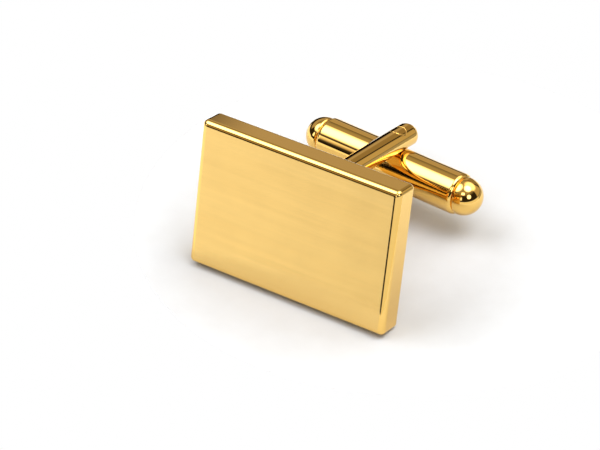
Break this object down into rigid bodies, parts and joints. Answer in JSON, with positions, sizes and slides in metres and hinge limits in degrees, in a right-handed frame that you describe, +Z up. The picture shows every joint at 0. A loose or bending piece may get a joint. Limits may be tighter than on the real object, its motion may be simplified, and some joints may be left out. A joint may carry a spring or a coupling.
{
  "type": "cufflink",
  "caption": "Rectangular gold cufflink: a thick satin face plate on a forked post that carries a ball-ended bar, which swivels on a rivet between the post's two arms.",
  "frame": {"origin": "on the table, under the middle of the link's bounding box", "axes": "+X to the right as seen from the front of the plate, +Y from the face plate back to the swivel bar, +Z up from the table on which the link stands leaning back"},
  "size_m": [0.0222, 0.023, 0.0153],
  "materials": {
    "plate_gold": "gold plated, fine satin front face with bright edges",
    "polished_gold": "gold plated, mirror polished",
    "spring_steel": "rolled, bright"
  },
  "bodies": {
    "link": {"face_plate": "plate_gold", "post_foot": "polished_gold", "arm_upper": "polished_gold", "arm_lower": "polished_gold", "pivot_rivet": "polished_gold"},
    "swivel_bar": {"bar_barrel": "polished_gold", "end_cap_right": "polished_gold", "end_cap_left": "polished_gold", "click_spring_front": "spring_steel", "click_spring_back": "spring_steel"}
  },
  "joints": [
    {"name": "bar_swivel", "type": "hinge", "parent": "link", "child": "swivel_bar", "pos_m": [0, 0.0081, 0.00422], "axis": [0, 0.2022, 0.9793], "continuous": true}
  ]
}
